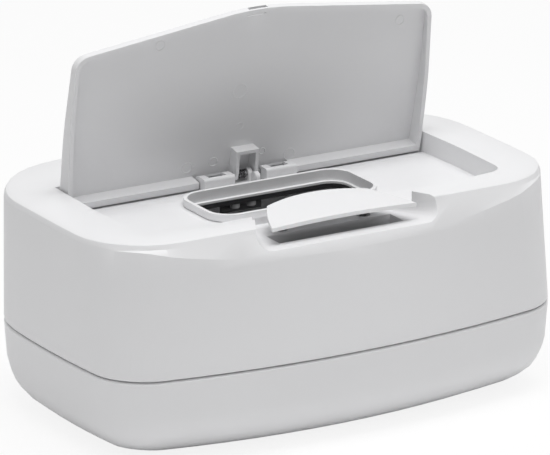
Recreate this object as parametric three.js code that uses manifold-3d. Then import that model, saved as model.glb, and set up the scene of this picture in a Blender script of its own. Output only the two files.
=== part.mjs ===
// Baby wipes box with a sprung lid that stands open, in millimetres.
// X is the width, Y runs from the front (negative) to the back, +Z is up.
// The origin is on the floor, below the middle of the box.

import * as THREE from 'three';
import { mergeVertices } from 'three/addons/utils/BufferGeometryUtils.js';
import Module from 'manifold-3d';

const wasm = await Module();
wasm.setup();

// Driving sizes of the body
const seamHeight = 42;
const deckHeight = 95.5;
const recessDepth = 10;
const wall = 2.4;
const gap = 0.3;
const cutOverrun = 20;
const leastCornerRadius = 13;
const weldTolerance = 1e-5;
const topEdgeRadius = 3;
const leastEdgeRadius = 0.75;
const seamChamfer = 0.8;
const crescentDrop = 11.9;
const shoulderStep = 0.6;
const footRise = 1;
const bottomRadius = 27.5;
const bottomInset = 24;
const hollowShares = [0, 0.35, 0.7, 1];

// Outlines of the body: half width, front and back before bowing, bows, corner radii
const bodyHalf = 118;
const shoulderSpread = 2.6;
const seamOutline = {
  half: bodyHalf, front: -70.8, back: 67.2,
  bowSide: 4.4, bowFront: 13.8, bowBack: 17.4, frontRadius: 19.5, backRadius: 44.5,
};
const shoulderOutline = {
  half: bodyHalf + shoulderSpread, front: -71, back: 59.6,
  bowSide: 1.4, bowFront: 7.2, bowBack: 16.5, frontRadius: 35, backRadius: 38.5,
};
const rimOutline = {
  half: bodyHalf + shoulderSpread, front: -71, back: 59.1,
  bowSide: 1.4, bowFront: 0.6, bowBack: 16.5, frontRadius: 35, backRadius: 38,
};
const cornerSteps = 7;
const frontSteps = 12;
const sideSteps = 6;
const smallSteps = 5;
const rollSteps = 9;

// Recess that the lid closes into
const recessFrontHalf = 96.2;
const recessMiddleHalf = 97.4;
const recessBackHalf = 96.2;
const recessMiddleY = -14;
const recessSideRadius = 300;
const recessFrontCorner = -52.8;
const recessPeak = 12.9;
const recessCornerRadius = 8;
const recessPeakRadius = 130;
const lidClearance = 1;
const lidBackRoom = 5.2;
const troughFront = 17.4;
const troughInner = 25.3;
const troughDrop = 0.8;
const platformDrop = 5.7;
const rampTop = -35;
const rampRun = 6;

// Lid
const lidBack = 23.5;
const lidPlate = 2.2;
const lidSkirtWall = 2;
const lidSkirtBackWall = 3.2;
const skirtCutReach = 5;
const lidSkirtBack = 9.4;
const lidSkirtFront = 4.7;
const lidEdgeRadius = 1.6;
const lidOpenAngle = THREE.MathUtils.degToRad(78.5);
const catchSlotWidth = 10;
const catchSlotHeight = 2;
const catchSlotDrop = 1.2;

// Hinge
const axisY = 21;
const axisRise = 3.5;
const pinRadius = 1.1;
const pinHalf = 24;
const blockInner = 8.5;
const blockOuter = 25;
const blockFront = 14.3;
const blockBack = 23.2;
const blockHeight = 6;
const blockPocketWall = 1.8;
const blockPocketFloor = 1.2;
const bracketHalf = 6;
const bracketCheek = 1.6;
const bracketTaper = 1.2;
const bracketFloorGap = 0.8;
const eyeRadius = 2.5;
const boreSteps = 24;
const springWire = 0.7;
const springRadius = 1.85;
const springCurls = 3;
const stepsInCurl = 8;
const wireSides = 5;
const springPitch = 1.2;
const lugHalf = 1.1;
const lugRadius = 2.4;
const lugX = 2.4;
const deckSlotInner = 5.7;
const deckSlotOuter = 8.2;
const deckSlotHalfY = 2.4;
const lugReach = 7;

// Opening and its collar
const openingMiddleY = -12.6;
const collarHalfX = 45;
const collarHalfY = 20.6;
const collarCorner = 12;
const collarHeight = 3.8;
const collarWall = 1.8;
const collarLedge = 1.4;
const collarLedgeThick = 1.2;
const collarSocket = 0.9;
const retainerMargin = 7;
const retainerThick = 2;
const screwRadius = 1.5;
const screwHeadRadius = 2.8;
const screwHeadHeight = 1.6;
const screwX = 46.5;
const screwY = 14;

// Finger scoop and the press tab over it
const scoopFloorDrop = 0.8;
const scoopBack = -38.6;
const scoopBackHalf = 31;
const scoopFlareStart = -52;
const scoopFlareHalf = 37.4;
const scoopFrontHalf = 47.6;
const scoopOuterHalf = 56;
const scoopCorner = 8;
const scoopBackCorner = 2;
const pocketFront = -67.5;
const pocketSlope = 6;
const pocketBack = -55.5;
const pocketHalf = 33;
const pocketDepth = 7.5;
const tabBack = -45.2;
const tabBackBow = 5;
const tabFront = -69.7;
const tabBackHalf = 26.5;
const tabSideBow = 1;
const tabFrontHalf = 38.2;
const tabThick = 1.8;
const tabFrontDrop = 2.2;
const tabCrown = 1.2;
const tabOverRim = 1;
const pegX = 22;
const pegY = -49.5;
const pegRadius = 1.5;
const cupRadius = 5.2;
const cupBore = 3.6;
const cupDepth = 9;
const cupFloor = 1.4;
const tabSpringRadius = 2.7;
const tabSpringWall = 0.7;
const clipRadius = 3.2;
const clipThick = 1;

// Base tray
const tongueHeight = 4;
const tongueWall = 1.6;
const footRadius = 9;
const footThick = 1.8;
const footX = 72;
const footFrontY = -38;
const footBackY = 36;

// Worked-out levels
const rimHeight = deckHeight + recessDepth;
const lidTop = rimHeight;
const axisZ = deckHeight + axisRise;
const scoopFloor = deckHeight - scoopFloorDrop;
const tabTopBack = rimHeight + tabOverRim;

// Colours
const white = 0xececed;
const warmGrey = 0xd9dadb;

function makeMaterial(colour, roughness, metalness = 0) {
  return new THREE.MeshStandardMaterial({ color: colour, roughness, metalness });
}

// Solids from geometries and back
function toSolid(geometry) {
  const bare = geometry.clone();
  bare.deleteAttribute('normal');
  bare.deleteAttribute('uv');
  const merged = mergeVertices(bare, weldTolerance);
  const vertProperties = new Float32Array(merged.attributes.position.array);
  const triVerts = new Uint32Array(merged.index.array);
  return new wasm.Manifold(new wasm.Mesh({ numProp: 3, vertProperties, triVerts }));
}

function toGeometry(solid) {
  const mesh = solid.getMesh();
  const geometry = new THREE.BufferGeometry();
  geometry.setAttribute('position', new THREE.BufferAttribute(mesh.vertProperties, 3));
  geometry.setIndex(new THREE.BufferAttribute(mesh.triVerts, 1));
  geometry.computeVertexNormals();
  return geometry;
}

// A closed skin over rings with the same number of points, each ring [x, y, z] points
function loftGeometry(rings) {
  const count = rings[0].length;
  const positions = [];
  const indices = [];
  for (const ring of rings) {
    for (const point of ring) {
      positions.push(...point);
    }
  }
  for (let r = 0; r + 1 < rings.length; r += 1) {
    for (let i = 0; i < count; i += 1) {
      const a = r * count + i;
      const b = r * count + ((i + 1) % count);
      indices.push(a, b, b + count);
      indices.push(a, b + count, a + count);
    }
  }
  capRing(rings[0], 0, positions, indices, true);
  capRing(rings[rings.length - 1], (rings.length - 1) * count, positions, indices, false);
  const geometry = new THREE.BufferGeometry();
  geometry.setAttribute('position', new THREE.Float32BufferAttribute(positions, 3));
  geometry.setIndex(indices);
  return geometry;
}

// Closes an end ring with a fan about its middle
function capRing(ring, start, positions, indices, reversed) {
  const count = ring.length;
  const middle = [0, 0, 0];
  for (const point of ring) {
    for (let k = 0; k < 3; k += 1) {
      middle[k] += point[k] / count;
    }
  }
  const hub = positions.length / 3;
  positions.push(...middle);
  for (let i = 0; i < count; i += 1) {
    const a = start + i;
    const b = start + ((i + 1) % count);
    if (reversed) {
      indices.push(hub, b, a);
    } else {
      indices.push(hub, a, b);
    }
  }
}

function loft(rings) {
  return toSolid(loftGeometry(rings));
}

// Prism over an outline of [x, y] points
function prism(points, low, high) {
  const shape = new THREE.Shape(points.map(([x, y]) => new THREE.Vector2(x, y)));
  const geometry = new THREE.ExtrudeGeometry(shape, { depth: high - low, bevelEnabled: false });
  geometry.translate(0, 0, low);
  return toSolid(geometry);
}

// Prism along X over an outline of [y, z] points
function prismAlongX(points, low, high) {
  const shape = new THREE.Shape(points.map(([y, z]) => new THREE.Vector2(y, z)));
  const geometry = new THREE.ExtrudeGeometry(shape, { depth: high - low, bevelEnabled: false });
  geometry.applyMatrix4(new THREE.Matrix4().set(0, 0, 1, low, 1, 0, 0, 0, 0, 1, 0, 0, 0, 0, 0, 1));
  return toSolid(geometry);
}

function box(x0, x1, y0, y1, z0, z1) {
  const geometry = new THREE.BoxGeometry(x1 - x0, y1 - y0, z1 - z0);
  geometry.translate((x0 + x1) / 2, (y0 + y1) / 2, (z0 + z1) / 2);
  return toSolid(geometry);
}

function cylinderAlongX(radius, x0, x1, y, z, steps = boreSteps) {
  const geometry = new THREE.CylinderGeometry(radius, radius, x1 - x0, steps);
  geometry.rotateZ(Math.PI / 2);
  geometry.translate((x0 + x1) / 2, y, z);
  return toSolid(geometry);
}

function cylinderAlongZ(radius, x, y, z0, z1, steps = boreSteps) {
  const geometry = new THREE.CylinderGeometry(radius, radius, z1 - z0, steps);
  geometry.rotateX(Math.PI / 2);
  geometry.translate(x, y, (z0 + z1) / 2);
  return toSolid(geometry);
}

// Rounded outline with bowed sides, drawn inward by inset, counter-clockwise
function bodyOutline(spec, inset = 0) {
  const half = spec.half - inset;
  const front = spec.front + inset;
  const back = spec.back - inset;
  const frontRadius = Math.max(spec.frontRadius - inset, leastCornerRadius);
  const backRadius = Math.max(spec.backRadius - inset, leastCornerRadius);
  const corners = [
    [half - frontRadius, front + frontRadius, frontRadius, -Math.PI / 2, sideSteps],
    [half - backRadius, back - backRadius, backRadius, 0, frontSteps],
    [-half + backRadius, back - backRadius, backRadius, Math.PI / 2, sideSteps],
    [-half + frontRadius, front + frontRadius, frontRadius, Math.PI, frontSteps],
  ];
  const straight = [];
  corners.forEach(([x, y, radius, start, steps], index) => {
    for (let i = 0; i <= cornerSteps; i += 1) {
      const angle = start + (i / cornerSteps) * (Math.PI / 2);
      straight.push([x + radius * Math.cos(angle), y + radius * Math.sin(angle)]);
    }
    const [lastX, lastY] = straight[straight.length - 1];
    const next = corners[(index + 1) % corners.length];
    const nextX = next[0] + next[2] * Math.cos(next[3]);
    const nextY = next[1] + next[2] * Math.sin(next[3]);
    for (let i = 1; i < steps; i += 1) {
      const t = i / steps;
      straight.push([lastX + (nextX - lastX) * t, lastY + (nextY - lastY) * t]);
    }
  });
  const middle = (front + back) / 2;
  const halfDepth = (back - front) / 2;
  return straight.map(([x, y]) => {
    const across = 1 - (x / half) ** 2;
    const along = (y - middle) / halfDepth;
    const bow = along < 0 ? spec.bowFront : spec.bowBack;
    const sideBow = spec.bowSide * (1 - along ** 2);
    return [x + sideBow * (x / half), y + bow * across * along];
  });
}

function atHeight(outline, z) {
  return outline.map(([x, y]) => [x, y, z]);
}

// How far a point is part of the bowed front: 1 in the middle of the front, 0 elsewhere
function frontShare(spec, x, y) {
  if (y > spec.front + spec.frontRadius) {
    return 0;
  }
  return Math.max(0, 1 - (x / (spec.half - spec.frontRadius / 2)) ** 2);
}

// Polygon with each corner rounded; a corner is [x, y, radius, steps]
function roundedPolygon(corners) {
  const points = [];
  corners.forEach(([x, y, radius, steps], index) => {
    const before = corners[(index + corners.length - 1) % corners.length];
    const after = corners[(index + 1) % corners.length];
    const here = new THREE.Vector2(x, y);
    const toBefore = new THREE.Vector2(before[0], before[1]).sub(here).normalize();
    const toAfter = new THREE.Vector2(after[0], after[1]).sub(here).normalize();
    const between = Math.acos(THREE.MathUtils.clamp(toBefore.dot(toAfter), -1, 1));
    if (radius === 0) {
      points.push([x, y]);
      return;
    }
    const reach = radius / Math.tan(between / 2);
    const first = here.clone().addScaledVector(toBefore, reach);
    const last = here.clone().addScaledVector(toAfter, reach);
    const centre = here.clone().addScaledVector(
      toBefore.clone().add(toAfter).normalize(),
      radius / Math.sin(between / 2),
    );
    const startAngle = Math.atan2(first.y - centre.y, first.x - centre.x);
    const endAngle = Math.atan2(last.y - centre.y, last.x - centre.x);
    let sweep = endAngle - startAngle;
    sweep -= Math.round(sweep / (2 * Math.PI)) * 2 * Math.PI;
    for (let i = 0; i <= steps; i += 1) {
      const angle = startAngle + (sweep * i) / steps;
      points.push([centre.x + radius * Math.cos(angle), centre.y + radius * Math.sin(angle)]);
    }
  });
  return points;
}

// Five-sided plan of the recess and the lid, drawn inward by inset, counter-clockwise
function lidPlan(inset, back) {
  const slope = recessPeak / recessFrontHalf;
  const lean = Math.hypot(1, slope);
  const frontHalf = recessFrontHalf - inset;
  const corner = recessFrontCorner + inset * (lean - slope);
  const peak = recessFrontCorner - recessPeak + inset * lean;
  const cornerRadius = recessCornerRadius - Math.min(inset, recessCornerRadius - lidClearance) / 2;
  return roundedPolygon([
    [-recessBackHalf + inset, back, 0, 0],
    [-recessMiddleHalf + inset, recessMiddleY, recessSideRadius, sideSteps],
    [-frontHalf, corner, cornerRadius, smallSteps],
    [0, peak, recessPeakRadius, sideSteps],
    [frontHalf, corner, cornerRadius, smallSteps],
    [recessMiddleHalf - inset, recessMiddleY, recessSideRadius, sideSteps],
    [recessBackHalf - inset, back, 0, 0],
  ]);
}

function roundedRectangle(middleX, middleY, halfX, halfY, radius, steps = sideSteps) {
  return roundedPolygon([
    [middleX - halfX, middleY - halfY, radius, steps],
    [middleX + halfX, middleY - halfY, radius, steps],
    [middleX + halfX, middleY + halfY, radius, steps],
    [middleX - halfX, middleY + halfY, radius, steps],
  ]);
}

// U-shaped section of the scoop across X, from the floor up past the rim
function scoopSection(y, half, radius, floor, top) {
  const outline = roundedPolygon([
    [-half, top, 0, 0],
    [-half, floor, radius, smallSteps],
    [half, floor, radius, smallSteps],
    [half, top, 0, 0],
  ]);
  return outline.map(([x, z]) => [x, y, z]);
}

function scoopSolid(grow) {
  const floor = scoopFloor - grow;
  const top = rimHeight + cutOverrun;
  const front = shoulderOutline.front - shoulderOutline.bowFront - cutOverrun;
  return loft([
    scoopSection(scoopBack + grow, scoopBackHalf + grow, scoopBackCorner + grow, floor, top),
    scoopSection(scoopFlareStart, scoopFlareHalf + grow, scoopBackCorner + grow, floor, top),
    scoopSection(rimOutline.front, scoopFrontHalf + grow, scoopCorner + grow, floor, top),
    scoopSection(front, scoopOuterHalf + grow, scoopCorner + grow, floor, top),
  ]);
}

// Deeper pocket in the scoop's floor, with a sloping front, below the tab
function pocketSolid(grow) {
  const low = scoopFloor - pocketDepth - grow;
  return prismAlongX(
    [
      [pocketFront - grow, scoopFloor + cutOverrun],
      [pocketFront - grow, scoopFloor],
      [pocketFront + pocketSlope - grow, low],
      [pocketBack + grow, low],
      [pocketBack + grow, scoopFloor + cutOverrun],
    ],
    -pocketHalf - grow,
    pocketHalf + grow,
  );
}

// Recess cut, with a ramp up to the platform that the front skirt lands on
function recessSolid(grow) {
  const back = lidBack + lidBackRoom + grow;
  const floor = deckHeight - grow;
  const platform = rimHeight - platformDrop - grow;
  const prismBack = back + 2 * grow;
  const whole = prism(lidPlan(-grow, back), floor, rimHeight + cutOverrun);
  const frontEnd = recessFrontCorner - recessPeak - cutOverrun;
  const under = prismAlongX(
    [
      [prismBack, floor - cutOverrun],
      [frontEnd, floor - cutOverrun],
      [frontEnd, platform],
      [rampTop - rampRun, platform],
      [rampTop, floor],
      [prismBack, floor],
    ].reverse(),
    -recessFrontHalf - cutOverrun,
    recessFrontHalf + cutOverrun,
  );
  return whole.subtract(under);
}

// Outer skin of the upper half, drawn inward by inset for its hollow
function upperSkin(inset, top, start, startInset) {
  const fillet = Math.max(topEdgeRadius - inset, leastEdgeRadius);
  const diagonal = fillet * Math.SQRT1_2;
  const shoulder = bodyOutline(shoulderOutline, inset).map(([x, y]) => {
    const share = frontShare(shoulderOutline, x, y);
    return [x, y, top - fillet - shoulderStep - crescentDrop * share];
  });
  return loft([
    atHeight(bodyOutline(seamOutline, inset + startInset), start),
    atHeight(bodyOutline(seamOutline, inset), seamHeight + gap + seamChamfer),
    shoulder,
    atHeight(bodyOutline(rimOutline, inset), top - fillet),
    atHeight(bodyOutline(rimOutline, inset + fillet - diagonal), top - fillet + diagonal),
    atHeight(bodyOutline(rimOutline, inset + fillet), top),
  ]);
}

function cupSolid(x, radius, low, high) {
  return cylinderAlongZ(radius, x, pegY, low, high);
}

function makeUpperShell() {
  const low = seamHeight + gap;
  const cupLow = scoopFloor - cupDepth;
  let shell = upperSkin(0, rimHeight, low, seamChamfer);
  let hollow = upperSkin(wall, rimHeight - wall, low - cutOverrun, 0);
  hollow = hollow.subtract(recessSolid(wall));
  hollow = hollow.subtract(scoopSolid(wall));
  hollow = hollow.subtract(pocketSolid(wall));
  for (const side of [-1, 1]) {
    hollow = hollow.subtract(cupSolid(side * pegX, cupRadius, cupLow - cupFloor, scoopFloor));
  }
  shell = shell.subtract(hollow);
  shell = shell.subtract(recessSolid(0));
  shell = shell.subtract(scoopSolid(0));
  shell = shell.subtract(pocketSolid(0));
  for (const side of [-1, 1]) {
    shell = shell.subtract(cupSolid(side * pegX, cupBore, cupLow, scoopFloor + cutOverrun));
    shell = shell.subtract(cupSolid(side * pegX, pegRadius + gap, cupLow - cutOverrun, cupLow + cutOverrun));
  }
  const socket = collarHalfX - collarSocket;
  const socketY = collarHalfY - collarSocket;
  const opening = roundedRectangle(0, openingMiddleY, socket, socketY, collarCorner - collarSocket);
  shell = shell.subtract(prism(opening, deckHeight - cutOverrun, deckHeight + cutOverrun));
  for (const side of [-1, 1]) {
    const x0 = Math.min(side * deckSlotInner, side * deckSlotOuter);
    const x1 = Math.max(side * deckSlotInner, side * deckSlotOuter);
    shell = shell.subtract(box(
      x0, x1, axisY - deckSlotHalfY, axisY + deckSlotHalfY, deckHeight - cutOverrun, deckHeight + cutOverrun,
    ));
  }
  for (const side of [-1, 1]) {
    shell = shell.subtract(troughSolid(side));
  }
  shell = shell.add(makeLug(axisY));
  shell = shell.add(makeLug(axisY - lugReach));
  return shell.subtract(cylinderAlongX(pinRadius + gap, -bracketHalf, bracketHalf, axisY, axisZ));
}

// Shallow step down behind the deck, on one side of the hinge, under the lid's back skirt
function troughSolid(side) {
  const outer = recessMiddleHalf + cutOverrun;
  const whole = prism(lidPlan(0, lidBack + lidBackRoom), deckHeight - troughDrop, deckHeight + cutOverrun);
  const zone = box(
    Math.min(side * troughInner, side * outer), Math.max(side * troughInner, side * outer),
    troughFront, lidBack + cutOverrun, deckHeight - cutOverrun, deckHeight + cutOverrun,
  );
  return whole.intersect(zone);
}

// Round-topped lug on the deck, at a place along Y
function makeLug(y) {
  const x0 = lugX - lugHalf;
  const x1 = lugX + lugHalf;
  const post = box(x0, x1, y - lugRadius, y + lugRadius, deckHeight - wall / 2, axisZ);
  const round = cylinderAlongX(lugRadius, x0, x1, y, axisZ);
  return post.add(round);
}

function makeCollar() {
  const outer = roundedRectangle(0, openingMiddleY, collarHalfX, collarHalfY, collarCorner);
  const inset = collarWall;
  const top = deckHeight + collarHeight;
  const inner = roundedRectangle(
    0, openingMiddleY, collarHalfX - inset, collarHalfY - inset, collarCorner - inset,
  );
  const neckInset = collarSocket + gap;
  const neck = roundedRectangle(
    0, openingMiddleY, collarHalfX - neckInset, collarHalfY - neckInset, collarCorner - neckInset,
  );
  const holeInset = collarWall + collarLedge;
  const hole = roundedRectangle(
    0, openingMiddleY, collarHalfX - holeInset, collarHalfY - holeInset, collarCorner - holeInset,
  );
  const seat = deckHeight + gap;
  const foot = deckHeight - wall - gap;
  const ledgeTop = foot + collarLedgeThick;
  let collar = prism(outer, seat, top).add(prism(neck, foot, seat + wall / 2));
  collar = collar.subtract(prism(inner, ledgeTop, top + cutOverrun));
  return collar.subtract(prism(hole, foot - cutOverrun, top + cutOverrun));
}

function retainerTop() {
  return deckHeight - wall - 2 * gap;
}

function makeRetainer() {
  const top = retainerTop();
  const outer = roundedRectangle(
    0, openingMiddleY, collarHalfX + retainerMargin, collarHalfY + retainerMargin / 3, collarCorner,
  );
  const holeInset = collarWall + collarLedge;
  const hole = roundedRectangle(
    0, openingMiddleY, collarHalfX - holeInset, collarHalfY - holeInset, collarCorner - holeInset,
  );
  let plate = prism(outer, top - retainerThick, top);
  plate = plate.subtract(prism(hole, top - cutOverrun, top + cutOverrun));
  for (const [x, y] of screwPlaces()) {
    plate = plate.subtract(cylinderAlongZ(screwRadius + gap, x, y, top - cutOverrun, top + cutOverrun));
  }
  return plate;
}

function screwPlaces() {
  return [
    [-screwX, openingMiddleY - screwY],
    [screwX, openingMiddleY - screwY],
    [-screwX, openingMiddleY + screwY],
    [screwX, openingMiddleY + screwY],
  ];
}

function makeScrew(x, y) {
  const under = retainerTop() - retainerThick - gap;
  const head = cylinderAlongZ(screwHeadRadius, x, y, under - screwHeadHeight, under);
  const shank = cylinderAlongZ(screwRadius, x, y, under - screwHeadHeight / 2, under + retainerThick);
  return head.add(shank);
}

// Lid in its closed place, before it is turned open
function makeLid() {
  const low = lidTop - lidSkirtBack;
  const diagonal = lidEdgeRadius * Math.SQRT1_2;
  const plan = (inset) => lidPlan(lidClearance + inset, lidBack - inset);
  let lid = loft([
    atHeight(plan(0), low),
    atHeight(plan(0), lidTop - lidEdgeRadius),
    atHeight(plan(lidEdgeRadius - diagonal), lidTop - lidEdgeRadius + diagonal),
    atHeight(plan(lidEdgeRadius), lidTop),
  ]);
  const cavity = lidPlan(lidClearance + lidSkirtWall, lidBack - lidSkirtBackWall);
  lid = lid.subtract(prism(cavity, low - cutOverrun, lidTop - lidPlate));
  const frontEnd = recessFrontCorner - recessPeak - cutOverrun;
  const shallow = lidTop - lidSkirtFront;
  lid = lid.subtract(prismAlongX(
    [
      [frontEnd, shallow],
      [frontEnd, low - cutOverrun],
      [lidBack, low - cutOverrun],
      [lidBack - lidSkirtBack, low],
      [recessFrontCorner, shallow],
    ],
    -recessFrontHalf - cutOverrun,
    recessFrontHalf + cutOverrun,
  ));
  const slotTop = lidTop - catchSlotDrop - lidEdgeRadius / 4;
  const slotHalf = catchSlotWidth / 2;
  const slotBack = recessFrontCorner - recessPeak / 2;
  lid = lid.subtract(box(-slotHalf, slotHalf, frontEnd, slotBack, slotTop - catchSlotHeight, slotTop));
  const blockRoom = blockOuter + 2 * gap;
  const skirtInside = lidBack - lidSkirtBackWall - skirtCutReach;
  lid = lid.subtract(box(
    -blockRoom, blockRoom, skirtInside, lidBack + cutOverrun, low - cutOverrun, lidTop - lidPlate,
  ));
  lid = lid.add(makeBracket());
  return lid.subtract(cylinderAlongX(pinRadius + gap, -blockRoom, blockRoom, axisY, axisZ));
}

// Hollow wedge bracket under the lid, with two cheeks round the pin
function makeBracket() {
  const top = lidTop - lidPlate / 2;
  const low = deckHeight + bracketFloorGap;
  const reach = openingMiddleY + collarHalfY + gap;
  const profile = [
    [axisY + eyeRadius, top],
    [reach, top],
    [reach, low + bracketTaper],
    [axisY - eyeRadius, low],
    [axisY, axisZ - eyeRadius],
    [axisY + eyeRadius, axisZ],
  ];
  const whole = prismAlongX(profile, -bracketHalf, bracketHalf);
  const eye = cylinderAlongX(eyeRadius, -bracketHalf, bracketHalf, axisY, axisZ);
  const inside = bracketHalf - bracketCheek;
  const room = box(
    -inside, inside, reach + bracketCheek, axisY + cutOverrun, low - cutOverrun, lidTop - lidPlate,
  );
  return whole.add(eye).subtract(room);
}

function makeBlock(side) {
  const inner = side * blockInner;
  const outer = side * blockOuter;
  const x0 = Math.min(inner, outer);
  const x1 = Math.max(inner, outer);
  const low = deckHeight + gap;
  const top = deckHeight + blockHeight;
  const radius = (blockHeight - gap) / 2;
  const profile = roundedPolygon([
    [blockFront, low, 0, 0],
    [blockBack, low, 0, 0],
    [blockBack, top, radius, 4],
    [blockFront, top, radius / 2, 4],
  ]);
  let block = prismAlongX(profile, x0, x1);
  block = block.subtract(box(
    x0 + 2 * blockPocketWall, x1 - 2 * blockPocketWall,
    blockFront + blockPocketWall, blockBack - blockPocketWall,
    low + blockPocketFloor, top + cutOverrun,
  ));
  const boreEnd = pinHalf + gap;
  return block.subtract(cylinderAlongX(pinRadius + gap, -boreEnd, boreEnd, axisY, axisZ));
}

function makePin() {
  return cylinderAlongX(pinRadius, -pinHalf, pinHalf, axisY, axisZ);
}

// Wound spring on the pin, beside the middle lug, with a straight stub at each end
function springPath() {
  const start = lugX - lugHalf - gap - springWire / 2;
  const points = [];
  for (let i = 0; i <= springCurls * stepsInCurl; i += 1) {
    const turn = i / stepsInCurl;
    const angle = turn * 2 * Math.PI;
    points.push(new THREE.Vector3(
      start - springPitch * turn,
      axisY + springRadius * Math.sin(angle),
      axisZ + springRadius * Math.cos(angle),
    ));
  }
  const first = points[0];
  const last = points[points.length - 1];
  points.unshift(first.clone().add(new THREE.Vector3(0, -springWire, 0)));
  points.push(last.clone().add(new THREE.Vector3(0, springWire, 0)));
  return points;
}

// Least distance between two stretches of the wire that aren't neighbours
function leastSelfGap(points) {
  let least = Infinity;
  for (let i = 0; i < points.length; i += 1) {
    for (let j = i + stepsInCurl / 2; j < points.length; j += 1) {
      least = Math.min(least, points[i].distanceTo(points[j]) - springWire);
    }
  }
  return least;
}

function makeLidSpring() {
  const points = springPath();
  console.log(`lid spring least gap to itself ${leastSelfGap(points).toFixed(2)} mm`);
  return tubeAlong(points, springWire / 2, wireSides);
}

function tubeAlong(points, radius, sides) {
  const rings = points.map((point, index) => {
    const before = points[Math.max(index - 1, 0)];
    const after = points[Math.min(index + 1, points.length - 1)];
    const along = after.clone().sub(before).normalize();
    const outward = point.clone().sub(new THREE.Vector3(point.x, axisY, axisZ)).normalize();
    const across = outward.clone().sub(along.clone().multiplyScalar(outward.dot(along))).normalize();
    const third = along.clone().cross(across);
    const ring = [];
    for (let i = 0; i < sides; i += 1) {
      const angle = (i / sides) * 2 * Math.PI;
      ring.push(point.clone()
        .addScaledVector(across, radius * Math.cos(angle))
        .addScaledVector(third, radius * Math.sin(angle))
        .toArray());
    }
    return ring;
  });
  return loft(rings);
}

// Half width of the tab at a share of its depth, 0 at the front and 1 at the back
function tabHalf(along) {
  const straight = tabFrontHalf + (tabBackHalf - tabFrontHalf) * along;
  return straight + 4 * tabSideBow * along * (1 - along);
}

// Height of the tab's top at a share of its depth and a share of its half width
function tabTop(along, across) {
  return tabTopBack - tabFrontDrop * (1 - along) - tabCrown * across ** 2;
}

// Tab plate, crowned across its width, with two pegs that slide in the cups
function makeTab() {
  const rings = [];
  for (let k = 0; k <= sideSteps; k += 1) {
    const along = k / sideSteps;
    const topRow = [];
    const lowRow = [];
    for (let i = 0; i <= frontSteps; i += 1) {
      const across = (2 * i) / frontSteps - 1;
      const bow = tabBackBow * (1 - across ** 2) * along;
      const y = tabFront + (tabBack - tabFront) * along + bow;
      const z = tabTop(along, across);
      topRow.push([across * tabHalf(along), y, z]);
      lowRow.unshift([across * tabHalf(along), y, z - tabThick]);
    }
    rings.push([...topRow, ...lowRow]);
  }
  let tab = loft(rings);
  const pegLow = scoopFloor - cupDepth - cupFloor - gap - clipThick - gap;
  for (const side of [-1, 1]) {
    tab = tab.add(cylinderAlongZ(pegRadius, side * pegX, pegY, pegLow, tabUnderside() + tabThick / 2));
  }
  return tab;
}

// Underside of the tab at the outer side of the pegs' springs
function tabUnderside() {
  const along = (pegY - tabFront) / (tabBack - tabFront);
  const across = (pegX + tabSpringRadius) / tabHalf(along);
  return tabTop(along, across) - tabThick;
}

function makeTabSpring(side) {
  const x = side * pegX;
  const low = scoopFloor - cupDepth + gap;
  const high = tabUnderside() - gap;
  const outer = cylinderAlongZ(tabSpringRadius, x, pegY, low, high);
  const bore = cylinderAlongZ(tabSpringRadius - tabSpringWall, x, pegY, low - cutOverrun, high + cutOverrun);
  return outer.subtract(bore);
}

function makeTabClip(side) {
  const x = side * pegX;
  const top = scoopFloor - cupDepth - cupFloor - gap;
  const ring = cylinderAlongZ(clipRadius, x, pegY, top - clipThick, top);
  return ring.subtract(cylinderAlongZ(pegRadius + gap, x, pegY, top - cutOverrun, top + cutOverrun));
}

// Base tray: rounded bottom, upright side and a tongue inside the upper half
function makeBaseTray() {
  const top = seamHeight - gap;
  const skin = (inset, floor, high) => {
    const rings = [];
    for (let i = 0; i <= rollSteps; i += 1) {
      const angle = (i / rollSteps) * (Math.PI / 2);
      const inward = bottomInset * (1 - Math.sin(angle)) + inset;
      const z = floor + bottomRadius * (1 - Math.cos(angle));
      rings.push(atHeight(bodyOutline(seamOutline, inward + seamChamfer), z));
    }
    rings.push(atHeight(bodyOutline(seamOutline, inset), high - seamChamfer));
    rings.push(atHeight(bodyOutline(seamOutline, inset + seamChamfer), high));
    return loft(rings);
  };
  let tray = skin(0, footRise, top);
  const tongueInset = wall + seamChamfer + gap;
  const tongue = loft([
    atHeight(bodyOutline(seamOutline, tongueInset), top - wall),
    atHeight(bodyOutline(seamOutline, tongueInset), top + tongueHeight),
  ]);
  tray = tray.add(tongue);
  const hollow = loft([
    ...hollowShares.map((share) => {
      const angle = share * (Math.PI / 2);
      const inward = bottomInset * (1 - Math.sin(angle)) + tongueInset + tongueWall;
      const z = footRise + wall + bottomRadius * (1 - Math.cos(angle));
      return atHeight(bodyOutline(seamOutline, inward), z);
    }),
    atHeight(bodyOutline(seamOutline, tongueInset + tongueWall), top + cutOverrun),
  ]);
  tray = tray.subtract(hollow);
  for (const [x, y] of footPlaces()) {
    tray = tray.subtract(cylinderAlongZ(footRadius + gap, x, y, -cutOverrun, footThick));
  }
  return tray;
}

function footPlaces() {
  return [[-footX, footFrontY], [footX, footFrontY], [-footX, footBackY], [footX, footBackY]];
}

const root = new THREE.Group();

function addPiece(parent, name, solid, material) {
  const mesh = new THREE.Mesh(toGeometry(solid), material);
  mesh.name = name;
  parent.add(mesh);
  return mesh;
}

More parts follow.
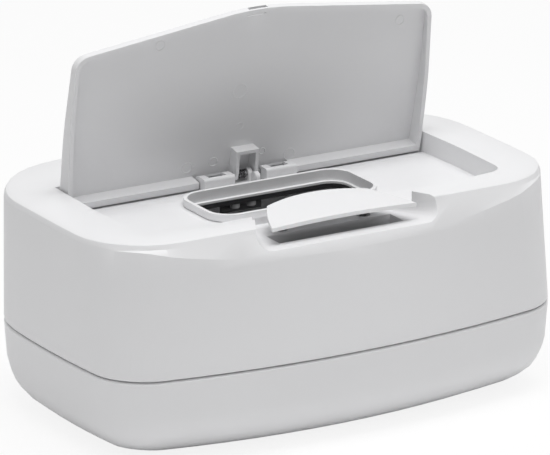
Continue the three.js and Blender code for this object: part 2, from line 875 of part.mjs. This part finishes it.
addPiece(root, 'base_tray', makeBaseTray(), makeMaterial(white, 0.45));
footPlaces().forEach(([x, y], index) => {
  const foot = cylinderAlongZ(footRadius, x, y, 0, footThick - gap);
  addPiece(root, `foot_${index + 1}`, foot, makeMaterial(warmGrey, 0.8));
});
addPiece(root, 'upper_shell', makeUpperShell(), makeMaterial(white, 0.45));
addPiece(root, 'opening_collar', makeCollar(), makeMaterial(white, 0.5));
addPiece(root, 'collar_retainer', makeRetainer(), makeMaterial(0x3a3b3d, 0.6));
screwPlaces().forEach(([x, y], index) => {
  addPiece(root, `retainer_screw_${index + 1}`, makeScrew(x, y), makeMaterial(0xb5b7ba, 0.35, 0.9));
});
addPiece(root, 'hinge_block_left', makeBlock(-1), makeMaterial(white, 0.45));
addPiece(root, 'hinge_block_right', makeBlock(1), makeMaterial(white, 0.45));
addPiece(root, 'hinge_pin', makePin(), makeMaterial(0xb5b7ba, 0.3, 0.9));
addPiece(root, 'lid_spring', makeLidSpring(), makeMaterial(0xb5b7ba, 0.3, 0.9));
addPiece(root, 'press_tab', makeTab(), makeMaterial(white, 0.35));
for (const [word, side] of [['left', -1], ['right', 1]]) {
  addPiece(root, `tab_spring_${word}`, makeTabSpring(side), makeMaterial(0xb5b7ba, 0.3, 0.9));
  addPiece(root, `tab_clip_${word}`, makeTabClip(side), makeMaterial(0xb5b7ba, 0.3, 0.9));
}

// The lid turns back about the pin from its closed place
const lidGroup = new THREE.Group();
lidGroup.position.set(0, axisY, axisZ);
lidGroup.rotation.x = -lidOpenAngle;
const lid = addPiece(lidGroup, 'lid_shell', makeLid(), makeMaterial(white, 0.45));
lid.position.set(0, -axisY, -axisZ);
root.add(lidGroup);

export default root;
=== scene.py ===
# %% [markdown]
# This lesson dresses a baby wipes box in moulded white plastic, whose sprung lid stands open. The
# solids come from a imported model, which is loaded first and is never moved or changed. They could
# be shown as they are, but their edges are hard and their rounds faceted. So each solid that
# shows well gets a finished copy, made in its own place, which stands for it.

# %% Frame and sizes
import math

import bmesh
import bpy
from mathutils import Matrix, Vector
from mathutils.bvhtree import BVHTree


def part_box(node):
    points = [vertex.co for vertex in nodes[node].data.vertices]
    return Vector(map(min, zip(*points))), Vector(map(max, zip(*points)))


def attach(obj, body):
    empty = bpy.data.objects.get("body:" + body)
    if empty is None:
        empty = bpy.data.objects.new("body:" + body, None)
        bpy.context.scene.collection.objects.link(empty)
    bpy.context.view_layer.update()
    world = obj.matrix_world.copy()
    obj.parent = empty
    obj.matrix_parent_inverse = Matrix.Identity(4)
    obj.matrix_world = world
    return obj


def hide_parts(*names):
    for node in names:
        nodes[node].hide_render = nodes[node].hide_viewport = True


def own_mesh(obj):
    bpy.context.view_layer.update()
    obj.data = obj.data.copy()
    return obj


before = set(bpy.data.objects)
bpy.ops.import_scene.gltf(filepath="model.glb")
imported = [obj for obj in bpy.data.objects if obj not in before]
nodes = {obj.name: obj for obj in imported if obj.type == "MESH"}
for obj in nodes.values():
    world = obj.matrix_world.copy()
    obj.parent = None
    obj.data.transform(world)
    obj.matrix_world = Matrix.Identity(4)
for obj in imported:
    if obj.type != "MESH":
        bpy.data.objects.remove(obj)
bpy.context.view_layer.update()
MM = 0.001

# %% [markdown]
# The camera stands well away with a long lens, so that upright edges stay upright. A camera can
# be told to look at a point, but its framing is then found by trial. Here the viewing angle and
# the scale are given, and one measured point, near the middle of the lid's groove in the deck, is
# put at its own pixel. The same ray through a pixel is used again for the marks on the lid.

# %% Camera
PHOTO_WIDTH = 550
PHOTO_HEIGHT = 455
AZIMUTH = math.radians(-30.65)
ELEVATION = math.radians(17.77)
PIXELS_PER_METRE = 2140
CAMERA_DISTANCE = 2.632
SENSOR_WIDTH = 36
CLIP_END = 20
ANCHOR_PIXEL = (250, 180.3)
ANCHOR_X = 2.66 * MM
ANCHOR_AHEAD_OF_PIN = 1.2 * MM
ANCHOR_BELOW_PIN = 2.4 * MM

pin_low, pin_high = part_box("hinge_pin")
anchor = Vector((
    ANCHOR_X,
    (pin_low.y + pin_high.y) / 2 - ANCHOR_AHEAD_OF_PIN,
    pin_low.z - ANCHOR_BELOW_PIN,
))
focal_pixels = PIXELS_PER_METRE * CAMERA_DISTANCE
forward = -Vector((
    math.sin(AZIMUTH) * math.cos(ELEVATION),
    -math.cos(AZIMUTH) * math.cos(ELEVATION),
    math.sin(ELEVATION),
))
right = Vector((math.cos(AZIMUTH), math.sin(AZIMUTH), 0))
up = right.cross(forward)


def pixel_ray(pixel):
    across = (pixel[0] - PHOTO_WIDTH / 2) / focal_pixels
    down = (pixel[1] - PHOTO_HEIGHT / 2) / focal_pixels
    return forward + across * right - down * up


camera_data = bpy.data.cameras.new("photo_camera")
camera_data.sensor_width = SENSOR_WIDTH
camera_data.lens = SENSOR_WIDTH * focal_pixels / PHOTO_WIDTH
camera_data.clip_end = CLIP_END
camera = bpy.data.objects.new("photo_camera", camera_data)
camera.location = anchor - CAMERA_DISTANCE * pixel_ray(ANCHOR_PIXEL)
camera.rotation_euler = forward.to_track_quat("-Z", "Y").to_euler()
bpy.context.scene.collection.objects.link(camera)
bpy.context.scene.camera = camera
print("camera lens", round(camera_data.lens, 1))

# %% [markdown]
# Every finish below is built from nodes. Adding one by hand takes a line for each setting and
# each link, so a helper does it in one call: a value that is another node's socket is linked, and
# any other value is set.

# %% Adding a node
def add_node(tree, kind, inputs, **settings):
    node = tree.nodes.new(kind)
    for name, value in settings.items():
        setattr(node, name, value)
    for key, value in inputs.items():
        if isinstance(value, bpy.types.NodeSocket):
            tree.links.new(value, node.inputs[key])
        else:
            node.inputs[key].default_value = value
    return node


# %% [markdown]
# Real moulded plastic is never one flat colour: it has a very fine texture from the tool, faint
# clouding where the flow cooled, and slightly uneven gloss. Each material could hold its own
# noise, but one node group makes all three effects, and each material takes it with its own
# strengths. It reads Object coordinates, so the pattern stays on the piece when it moves.

# %% Moulded plastic group
CLOUD_SCALE = 18
CLOUD_DETAIL = 3
NOISE_MIDDLE = 0.5
GLOSS_CHANGE = 0.12
GRAIN_DETAIL = 2
GRAIN_DEPTH = 0.02 * MM


def make_mould_group():
    group = bpy.data.node_groups.new("moulded surface", "ShaderNodeTree")
    for name, kind, start in (
        ("Colour", "NodeSocketColor", (0.9, 0.9, 0.9, 1)),
        ("Clouding", "NodeSocketFloat", 0.02),
        ("Roughness", "NodeSocketFloat", 0.4),
        ("Grain", "NodeSocketFloat", 0.1),
        ("Grain scale", "NodeSocketFloat", 1500),
    ):
        socket = group.interface.new_socket(name, in_out="INPUT", socket_type=kind)
        socket.default_value = start
    for name, kind in (
        ("Colour", "NodeSocketColor"),
        ("Roughness", "NodeSocketFloat"),
        ("Normal", "NodeSocketVector"),
    ):
        group.interface.new_socket(name, in_out="OUTPUT", socket_type=kind)
    given = group.nodes.new("NodeGroupInput")
    place = group.nodes.new("ShaderNodeTexCoord")

    cloud = add_node(group, "ShaderNodeTexNoise", {
        "Vector": place.outputs["Object"], "Scale": CLOUD_SCALE, "Detail": CLOUD_DETAIL,
    })
    centred = add_node(
        group, "ShaderNodeMath", {0: cloud.outputs["Fac"], 1: NOISE_MIDDLE},
        operation="SUBTRACT",
    )
    strength = add_node(
        group, "ShaderNodeMath", {0: centred.outputs[0], 1: given.outputs["Clouding"]},
        operation="MULTIPLY",
    )
    bright = add_node(
        group, "ShaderNodeMath", {0: strength.outputs[0], 1: 1}, operation="ADD",
    )
    tint = add_node(
        group, "ShaderNodeVectorMath",
        {0: given.outputs["Colour"], "Scale": bright.outputs[0]}, operation="SCALE",
    )
    gloss = add_node(
        group, "ShaderNodeMath",
        {0: centred.outputs[0], 1: GLOSS_CHANGE, 2: given.outputs["Roughness"]},
        operation="MULTIPLY_ADD",
    )
    grain = add_node(group, "ShaderNodeTexNoise", {
        "Vector": place.outputs["Object"], "Scale": given.outputs["Grain scale"],
        "Detail": GRAIN_DETAIL,
    })
    bump = add_node(group, "ShaderNodeBump", {
        "Distance": GRAIN_DEPTH, "Height": grain.outputs["Fac"],
        "Strength": given.outputs["Grain"],
    })
    add_node(group, "NodeGroupOutput", {
        "Colour": tint.outputs[0], "Roughness": gloss.outputs[0],
        "Normal": bump.outputs["Normal"],
    })
    return group


mould_group = make_mould_group()
print(mould_group.name, "nodes", len(mould_group.nodes))

# %% [markdown]
# The hollow under the press tab is narrow, and little light comes back out of it. Deeper shade
# could come from less light, but that would darken the whole box. Instead the shade is painted:
# a second group gives a soft mask, which is one inside a box on the piece and fades to nothing at
# its faces, and a material uses it to paint its colour darker in there, as painted shade.

# %% Painted shade mask group
def make_painted_shade_group():
    group = bpy.data.node_groups.new("painted shade mask", "ShaderNodeTree")
    for name in ("Middle", "Half size"):
        group.interface.new_socket(name, in_out="INPUT", socket_type="NodeSocketVector")
    group.interface.new_socket("Softness", in_out="INPUT", socket_type="NodeSocketFloat")
    group.interface.new_socket("Mask", in_out="OUTPUT", socket_type="NodeSocketFloat")
    given = group.nodes.new("NodeGroupInput")
    place = group.nodes.new("ShaderNodeTexCoord")

    offset = add_node(
        group, "ShaderNodeVectorMath",
        {0: place.outputs["Object"], 1: given.outputs["Middle"]}, operation="SUBTRACT",
    )
    share = add_node(
        group, "ShaderNodeVectorMath",
        {0: offset.outputs[0], 1: given.outputs["Half size"]}, operation="DIVIDE",
    )
    unsigned = add_node(
        group, "ShaderNodeVectorMath", {0: share.outputs[0]}, operation="ABSOLUTE",
    )
    parts = add_node(group, "ShaderNodeSeparateXYZ", {0: unsigned.outputs[0]})
    wider = add_node(
        group, "ShaderNodeMath", {0: parts.outputs[0], 1: parts.outputs[1]},
        operation="MAXIMUM",
    )
    widest = add_node(
        group, "ShaderNodeMath", {0: wider.outputs[0], 1: parts.outputs[2]},
        operation="MAXIMUM",
    )
    inner = add_node(
        group, "ShaderNodeMath", {0: 1, 1: given.outputs["Softness"]}, operation="SUBTRACT",
    )
    fade = add_node(
        group, "ShaderNodeMapRange",
        {
            "Value": widest.outputs[0], "From Min": inner.outputs[0], "From Max": 1,
            "To Min": 1, "To Max": 0,
        },
        interpolation_type="SMOOTHSTEP",
    )
    add_node(group, "NodeGroupOutput", {"Mask": fade.outputs[0]})
    return group


painted_shade_group = make_painted_shade_group()
print(painted_shade_group.name, "nodes", len(painted_shade_group.nodes))

# %% [markdown]
# Each material is the group above, put into the shader's own sockets. A metal is the same surface
# with Metallic at one and a finer, stronger grain. A hollow's painted shade is mixed in last,
# between the group's colour and a darker one, by the mask.

# %% Making a material
def make_plastic(
    name, colour, roughness, clouding=0.03, grain=0.25, grain_scale=1500, specular=0.5,
):
    material = bpy.data.materials.new(name)
    material.use_nodes = True
    tree = material.node_tree
    shader = tree.nodes["Principled BSDF"]
    shader.inputs["Specular IOR Level"].default_value = specular
    surface = add_node(
        tree, "ShaderNodeGroup",
        {
            "Colour": (*colour, 1), "Clouding": clouding, "Roughness": roughness,
            "Grain": grain, "Grain scale": grain_scale,
        },
        node_tree=mould_group,
    )
    for output, target in (
        ("Colour", "Base Color"), ("Roughness", "Roughness"), ("Normal", "Normal"),
    ):
        tree.links.new(surface.outputs[output], shader.inputs[target])
    return material


def make_metal(name, colour, roughness):
    material = make_plastic(name, colour, roughness, clouding=0.08, grain=0.4, grain_scale=4000)
    material.node_tree.nodes["Principled BSDF"].inputs["Metallic"].default_value = 1
    return material


# Painted shade: inside the mask's box, the material's colour is mixed towards a darker one.
def paint_hollow_shade(material, middle_mm, half_mm, softness, colour):
    tree = material.node_tree
    shader = tree.nodes["Principled BSDF"]
    plain = shader.inputs["Base Color"].links[0].from_socket
    mask = add_node(
        tree, "ShaderNodeGroup",
        {
            "Middle": [MM * value for value in middle_mm],
            "Half size": [MM * value for value in half_mm],
            "Softness": softness,
        },
        node_tree=painted_shade_group,
    )
    mix = add_node(
        tree, "ShaderNodeMix",
        {"Factor": mask.outputs["Mask"], "A": plain, "B": (*colour, 1)}, data_type="RGBA",
    )
    tree.links.new(mix.outputs["Result"], shader.inputs["Base Color"])


# %% [markdown]
# The box is nearly the same white throughout, and mostly the gloss differs: the shell is satin
# and the press tab polished. One white for all would be simpler, but the tab would then be lost
# against the deck. The upper half, a copy of the shell white, and the tab also get painted shade
# in the hollow between them.

# %% Moulded materials
SHELL_COLOUR = (0.80, 0.80, 0.81)
SHELL_ROUGHNESS = 0.42

shell_white = make_plastic("shell white", SHELL_COLOUR, SHELL_ROUGHNESS)
lid_white = make_plastic("lid white", (0.78, 0.78, 0.79), roughness=0.38)
tab_white_with_painted_shade = make_plastic("tab white with painted shade", (0.84, 0.84, 0.85), roughness=0.22, grain=0.08)
top_white_with_painted_shade = make_plastic("top white with painted shade", SHELL_COLOUR, SHELL_ROUGHNESS)
# Painted shade: the upper half's hollow under the tab and the tab's pegs below it are drawn darker.
paint_hollow_shade(
    top_white_with_painted_shade, middle_mm=(0, -57, 89.5), half_mm=(37, 14.5, 6), softness=0.5,
    colour=(0.4, 0.4, 0.405),
)
paint_hollow_shade(
    tab_white_with_painted_shade, middle_mm=(0, -50, 84), half_mm=(30, 10, 16.5), softness=0.1,
    colour=(0.25, 0.25, 0.255),
)
inner_grey = make_plastic("inner grey", (0.14, 0.14, 0.143), roughness=0.45)
boss_grey = make_plastic("boss grey", (0.5, 0.5, 0.51), roughness=0.3)
dark_plastic = make_plastic("dark plastic", (0.03, 0.03, 0.032), roughness=0.5)
bright_steel = make_metal("bright steel", (0.62, 0.63, 0.64), roughness=0.28)
dark_steel = make_metal("dark steel", (0.12, 0.12, 0.125), roughness=0.4)
# The coils' wire is a plain low-gloss grey, set to the painted shade of the hollow they stand in.
grey_wire_matching_painted_shade = make_plastic("grey wire matching painted shade", (0.4, 0.4, 0.405), roughness=0.75, specular=0.15)
soft_foot = make_plastic("soft foot", (0.55, 0.55, 0.56), roughness=0.8, grain=0.5)
print("materials", len(bpy.data.materials))

# %% [markdown]
# A finished piece is a mesh in its own place, with its material and the body that it rides on.
# Every piece below needs these, so one helper turns a finished bmesh into a piece.

# %% Adding a piece
def add_piece(name, shape, material, body, smooth=True):
    mesh = bpy.data.meshes.new(name)
    shape.to_mesh(mesh)
    shape.free()
    mesh.materials.append(material)
    for polygon in mesh.polygons:
        polygon.use_smooth = smooth
    piece = bpy.data.objects.new(name, mesh)
    bpy.context.scene.collection.objects.link(piece)
    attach(piece, body)
    print(name, "faces", len(mesh.polygons))
    return piece


# %% [markdown]
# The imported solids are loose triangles, so a copy has its doubles merged first. The lid, collar,
# tab and blocks have flat faces: those are joined, and weighted normals keep them flat between
# the rounds. The tall walls of the body bulge a little, and long thin triangles on them would
# shade in bands, so level cuts split them into rows instead, with the bevel's own normals.

# %% A clean copy of a solid
MERGE_DISTANCE = 0.002 * MM
CUT_DISTANCE = 0.001 * MM
FLAT_ANGLE = math.radians(0.08)


def copy_solid(node, levels):
    shape = bmesh.new()
    shape.from_mesh(nodes[node].data)
    bmesh.ops.remove_doubles(shape, verts=shape.verts, dist=MERGE_DISTANCE)
    if not levels:
        bmesh.ops.dissolve_limit(
            shape, angle_limit=FLAT_ANGLE, verts=shape.verts, edges=shape.edges,
        )
    for level in levels:
        bmesh.ops.bisect_plane(
            shape, geom=[*shape.verts, *shape.edges, *shape.faces], dist=CUT_DISTANCE,
            plane_co=(0, 0, level * MM), plane_no=(0, 0, 1),
        )
    return shape


# %% [markdown]
# A moulded part has small rounds on every edge. They could be cut by hand where they show, but a
# Bevel modifier rounds every sharp edge at once. It works by each edge's weight, so that the lip
# of the finger scoop can be rounder than the rest.

# %% Dressing a solid
SHARP_ANGLE = math.radians(28)
NORMAL_WEIGHT = 100


def weigh_edges(shape, round_mm, soft_mm, soft_at):
    weight = shape.edges.layers.float.new("bevel_weight_edge")
    widest = max(round_mm, soft_mm)
    for edge in shape.edges:
        if edge.calc_face_angle(0) > SHARP_ANGLE:
            middle_mm = (edge.verts[0].co + edge.verts[1].co) / (2 * MM)
            soft = soft_at is not None and soft_at(middle_mm)
            edge[weight] = (soft_mm if soft else round_mm) / widest
    return widest


def dress(
    node, name, body, material, round_mm, segments=3, soft_mm=0, soft_at=None, levels=(),
):
    shape = copy_solid(node, levels)
    widest = weigh_edges(shape, round_mm, soft_mm, soft_at)
    piece = add_piece(name, shape, material, body)
    bevel = piece.modifiers.new("edge rounds", "BEVEL")
    bevel.width = widest * MM
    bevel.segments = segments
    bevel.limit_method = "WEIGHT"
    bevel.miter_outer = "MITER_ARC"
    bevel.harden_normals = bool(levels)
    if not levels:
        normals = piece.modifiers.new("flat faces", "WEIGHTED_NORMAL")
        normals.mode = "FACE_AREA"
        normals.weight = NORMAL_WEIGHT
    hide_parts(node)


# %% [markdown]
# The base tray and the upper half meet at the seam, and the front lip of the scoop has a larger
# round than the rest, because fingers pass over it. The lid, the collar, the tab and the two
# hinge blocks are smaller mouldings, with finer rounds.

# %% Body and lid
BASE_LEVELS = (32, 36, 40)
UPPER_LEVELS = (47, 54, 61, 68, 75, 81, 86, 90)
LIP_HALF_WIDTH = 52
LIP_BACK = -66
LIP_LOW = 92
LIP_HIGH = 104


def on_scoop_lip(middle_mm):
    across = abs(middle_mm.x) < LIP_HALF_WIDTH
    return across and middle_mm.y < LIP_BACK and LIP_LOW < middle_mm.z < LIP_HIGH


dress(
    "base_tray", "base_tray_skin", "base", shell_white, round_mm=0.5, segments=2,
    levels=BASE_LEVELS,
)
dress(
    "upper_shell", "upper_shell_skin", "top", top_white_with_painted_shade, round_mm=0.8,
    segments=4, soft_mm=2.2, soft_at=on_scoop_lip, levels=UPPER_LEVELS,
)
dress("lid_shell", "lid_skin", "lid", lid_white, round_mm=0.45)
dress("opening_collar", "collar_skin", "top", shell_white, round_mm=0.5)
dress("press_tab", "tab_skin", "tab", tab_white_with_painted_shade, round_mm=0.5)
for word in ("left", "right"):
    dress(
        f"hinge_block_{word}", f"hinge_block_{word}_skin", "top", shell_white,
        round_mm=0.3, segments=2,
    )

# %% [markdown]
# The frame under the deck, its screws, the feet, the pin, the lid's spring and the tab's clips
# are small and mostly hidden. Their solids have the right shape, so they keep it and only get a
# better material.

# %% Small parts keep their solids
def paint(node, material):
    mesh = nodes[node].data
    mesh.materials.clear()
    mesh.materials.append(material)
    print(node, material.name)


paint("collar_retainer", dark_plastic)
for number in range(1, 5):
    paint(f"retainer_screw_{number}", bright_steel)
    paint(f"foot_{number}", soft_foot)
paint("hinge_pin", bright_steel)
paint("lid_spring", dark_steel)
for word in ("left", "right"):
    paint(f"tab_clip_{word}", dark_steel)

# %% [markdown]
# Two coil springs hold the press tab up. A curve with a round bevel could draw one, but a small
# circle spun round its axis while it climbs is a mesh at once, with its ends closed by a face.

# %% Tab springs
COIL_WIRE = 0.35 * MM
COIL_TURNS = 8
COIL_STEPS = 24
WIRE_SIDES = 8


def stand_circle(shape, radius, place):
    ring = bmesh.ops.create_circle(shape, segments=WIRE_SIDES, radius=radius)["verts"]
    upright = Matrix.Rotation(math.pi / 2, 3, "X")
    bmesh.ops.rotate(shape, verts=ring, cent=(0, 0, 0), matrix=upright)
    bmesh.ops.translate(shape, verts=ring, vec=place)
    return ring


def wind_coil(word):
    low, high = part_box(f"tab_spring_{word}")
    middle = (low + high) / 2
    height = high.z - low.z
    radius = (high.x - low.x) / 2 - COIL_WIRE
    steps = COIL_TURNS * COIL_STEPS
    climb = (height - 2 * COIL_WIRE) / steps
    shape = bmesh.new()
    stand_circle(shape, COIL_WIRE, (middle.x + radius, middle.y, low.z + COIL_WIRE))
    bmesh.ops.spin(
        shape, geom=[*shape.verts, *shape.edges], cent=(middle.x, middle.y, 0),
        axis=(0, 0, 1), dvec=(0, 0, climb), angle=COIL_TURNS * math.tau, steps=steps,
    )
    open_ends = [edge for edge in shape.edges if edge.is_boundary]
    bmesh.ops.holes_fill(shape, edges=open_ends, sides=0)
    bmesh.ops.recalc_face_normals(shape, faces=shape.faces)
    coil = add_piece(f"tab_coil_{word}", shape, grey_wire_matching_painted_shade, "top")
    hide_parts(f"tab_spring_{word}")
    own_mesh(coil)


for word in ("left", "right"):
    wind_coil(word)

# %% [markdown]
# Through the opening, two pale round bosses show below its back edge, on a grey plate. A boss is
# a short cylinder and the plate a cube drawn out thin. Their edges are bevelled in the mesh and
# not by a modifier, because every edge gets the same round. They hang from the dark frame that
# clamps the collar, so they are placed from its box.

# %% Bosses below the collar
PLATE_SIZE = Vector((22, 1.4, 5)) * MM
PLATE_MIDDLE_X = -8.5 * MM
PLATE_ROUND = 0.3 * MM
BOSS_RADIUS = 2.3 * MM
BOSS_HEIGHT = 2.4 * MM
BOSS_SPACING = 8.7 * MM
BOSS_ROUND = 0.25 * MM
BOSS_SIDES = 24
ROUND_SEGMENTS = 3


def round_edges(shape, size):
    bmesh.ops.bevel(
        shape, geom=shape.edges[:], offset=size, affect="EDGES", segments=ROUND_SEGMENTS,
        profile=0.5, material=-1, clamp_overlap=True,
    )
    bmesh.ops.recalc_face_normals(shape, faces=shape.faces)


retainer_low, retainer_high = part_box("collar_retainer")
plate_y = retainer_high.y - PLATE_SIZE.y / 2
plate_shape = bmesh.new()
bmesh.ops.create_cube(plate_shape, size=1)
bmesh.ops.scale(plate_shape, verts=plate_shape.verts, vec=PLATE_SIZE)
bmesh.ops.translate(
    plate_shape, verts=plate_shape.verts,
    vec=(PLATE_MIDDLE_X, plate_y, retainer_low.z - PLATE_SIZE.z / 2),
)
round_edges(plate_shape, PLATE_ROUND)
add_piece("boss_plate", plate_shape, inner_grey, "top")

for word, side in (("left", -0.5), ("right", 0.5)):
    boss_shape = bmesh.new()
    bmesh.ops.create_cone(
        boss_shape, segments=BOSS_SIDES, radius1=BOSS_RADIUS, radius2=BOSS_RADIUS,
        depth=BOSS_HEIGHT, cap_ends=True, cap_tris=False,
    )
    boss_x = PLATE_MIDDLE_X + side * BOSS_SPACING
    bmesh.ops.translate(
        boss_shape, verts=boss_shape.verts,
        vec=(boss_x, plate_y - BOSS_RADIUS, retainer_low.z - BOSS_HEIGHT / 2),
    )
    round_edges(boss_shape, BOSS_ROUND)
    add_piece(f"boss_{word}", boss_shape, boss_grey, "top")

# %% [markdown]
# The inner face of a moulded lid carries faint raised marks from the tool. A bump in the material
# could draw them, but they stand proud of the face, so they are made as real shape. A ring is a
# small circle spun round and sunk a little into the face, and a tick is a thin bar. A mark is
# placed where the camera's ray through its pixel meets the lid, so that it truly sits on it.

# %% Shaping a mark
MARK_WIRE = 0.32 * MM
MARK_RISE_SHARE = 0.6
RING_STEPS = 36

lid_shape = bmesh.new()
lid_shape.from_mesh(nodes["lid_shell"].data)
lid_tree = BVHTree.FromBMesh(lid_shape)
lid_shape.free()


def lid_frame(pixel):
    spot, normal, _, _ = lid_tree.ray_cast(camera.location, pixel_ray(pixel).normalized())
    turn = normal.to_track_quat("Z", "Y").to_matrix().to_4x4()
    return Matrix.Translation(spot - normal * MARK_WIRE * (1 - MARK_RISE_SHARE)) @ turn


def add_ring(shape, place, radius):
    known = set(shape.verts)
    ring = stand_circle(shape, MARK_WIRE, (radius, 0, 0))
    rim = [edge for edge in shape.edges if edge.verts[0] not in known]
    bmesh.ops.spin(
        shape, geom=[*ring, *rim], cent=(0, 0, 0), axis=(0, 0, 1), angle=math.tau,
        steps=RING_STEPS, use_merge=True,
    )
    made = [vert for vert in shape.verts if vert not in known]
    bmesh.ops.transform(shape, verts=made, matrix=place)


def add_tick(shape, place, angle, near, far):
    bar = bmesh.ops.create_cube(shape, size=1)
    size = Matrix.Diagonal((far - near, MARK_WIRE, 2 * MARK_WIRE, 1))
    outwards = Matrix.Translation(((near + far) / 2, 0, 0))
    matrix = place @ Matrix.Rotation(angle, 4, "Z") @ outwards @ size
    bmesh.ops.transform(shape, verts=bar["verts"], matrix=matrix)


# %% [markdown]
# The marks are plain rings, left where pins push the warm part out of the tool, and one ring with
# short ticks round it. All of them are one mesh, because they share the lid's plastic and move
# with it.

# %% Mould marks
RINGS = (
    ((240, 91), 3.6), ((240, 126), 1.8), ((160, 46), 2.4), ((400, 20), 2.4),
    ((187, 168), 2.6), ((289, 154), 3.0), ((213, 162), 2.2), ((262, 151), 1.6),
)
TICKED_PIXEL = (187, 168)
TICKS = 12
TICK_NEAR = 3.1 * MM
TICK_FAR = 3.9 * MM

marks_shape = bmesh.new()
for pixel, radius_mm in RINGS:
    add_ring(marks_shape, lid_frame(pixel), radius_mm * MM)
for count in range(TICKS):
    angle = count * math.tau / TICKS
    add_tick(marks_shape, lid_frame(TICKED_PIXEL), angle, TICK_NEAR, TICK_FAR)
bmesh.ops.recalc_face_normals(marks_shape, faces=marks_shape.faces)
add_piece("lid_mould_marks", marks_shape, lid_white, "lid", smooth=False)

# %% [markdown]
# The table is a wide pale sheet. The photograph's ground is pure white, which could come from
# strong light, but that would wash out the box too. So most of what the camera sees of the table
# is its own glow, and the rest is lit, which keeps the box's faint shadow.

# %% Table
FLOOR_HALF = 3.0
FLOOR_COLOUR = (0.95, 0.95, 0.95, 1)
FLOOR_ROUGHNESS = 0.9
FLOOR_GLOW_SHARE = 0.86

floor_mesh = bpy.data.meshes.new("table_top")
floor_shape = bmesh.new()
bmesh.ops.create_grid(floor_shape, x_segments=1, y_segments=1, size=FLOOR_HALF)
floor_shape.to_mesh(floor_mesh)
floor_shape.free()
floor = bpy.data.objects.new("table_top", floor_mesh)
bpy.context.scene.collection.objects.link(floor)

floor_material = bpy.data.materials.new("pale table")
floor_material.use_nodes = True
floor_mesh.materials.append(floor_material)
floor_tree = floor_material.node_tree
floor_shader = floor_tree.nodes["Principled BSDF"]
floor_shader.inputs["Base Color"].default_value = FLOOR_COLOUR
floor_shader.inputs["Roughness"].default_value = FLOOR_ROUGHNESS
floor_path = floor_tree.nodes.new("ShaderNodeLightPath")
floor_glow = add_node(floor_tree, "ShaderNodeEmission", {"Strength": 1})
floor_share = add_node(
    floor_tree, "ShaderNodeMath",
    {0: floor_path.outputs["Is Camera Ray"], 1: FLOOR_GLOW_SHARE}, operation="MULTIPLY",
)
floor_mix = add_node(floor_tree, "ShaderNodeMixShader", {
    0: floor_share.outputs[0], 1: floor_shader.outputs[0], 2: floor_glow.outputs[0],
})
floor_output = floor_tree.nodes["Material Output"]
floor_tree.links.new(floor_mix.outputs[0], floor_output.inputs["Surface"])
print("table half width", FLOOR_HALF)

# %% [markdown]
# The photograph has soft light from overhead, and hardly a shadow. A small lamp would draw hard
# edges, so the lamp is one large panel above the box and a little in front of it.

# %% Panel
PANEL_PLACE = Vector((0, -0.2, 1.35))
PANEL_AIM = Vector((0, -0.1, 0.08))
PANEL_SIZE = (1.2, 0.55)
PANEL_POWER = 12

panel_data = bpy.data.lights.new("top panel", "AREA")
panel_data.shape = "RECTANGLE"
panel_data.size, panel_data.size_y = PANEL_SIZE
panel_data.energy = PANEL_POWER
panel = bpy.data.objects.new("top panel", panel_data)
panel.location = PANEL_PLACE
panel.rotation_euler = (PANEL_AIM - PANEL_PLACE).to_track_quat("-Z", "Y").to_euler()
bpy.context.scene.collection.objects.link(panel)
print("panel power", PANEL_POWER)

# %% [markdown]
# The rest of the light comes from the sky. An even sky would leave the walls as bright as the
# deck, so this one is brighter overhead than at the horizon. Camera rays and glossy rays meet a
# plain pale sky instead, so that neither the ground behind nor a reflection shows the change.

# %% Sky
SKY_LOW = 0.16
SKY_HIGH = 0.62

world = bpy.data.worlds.new("studio")
bpy.context.scene.world = world
world.use_nodes = True
sky = world.node_tree
sky_light = sky.nodes["Background"]
sky_light.inputs["Color"].default_value = (1, 1, 1, 1)
sky_place = sky.nodes.new("ShaderNodeTexCoord")
sky_parts = add_node(sky, "ShaderNodeSeparateXYZ", {0: sky_place.outputs["Generated"]})
sky_fall = add_node(sky, "ShaderNodeMapRange", {
    "Value": sky_parts.outputs["Z"], "From Min": 0, "From Max": 1,
    "To Min": SKY_LOW, "To Max": SKY_HIGH,
})
sky.links.new(sky_fall.outputs[0], sky_light.inputs["Strength"])
pale_sky = add_node(sky, "ShaderNodeBackground", {"Strength": 1})
sky_path = sky.nodes.new("ShaderNodeLightPath")
seen = add_node(
    sky, "ShaderNodeMath",
    {0: sky_path.outputs["Is Camera Ray"], 1: sky_path.outputs["Is Glossy Ray"]},
    operation="MAXIMUM",
)
choice = add_node(sky, "ShaderNodeMixShader", {
    0: seen.outputs[0], 1: sky_light.outputs[0], 2: pale_sky.outputs[0],
})
sky.links.new(choice.outputs[0], sky.nodes["World Output"].inputs["Surface"])
bpy.context.scene.view_settings.view_transform = "Standard"
print("sky from", SKY_LOW, "to", SKY_HIGH)
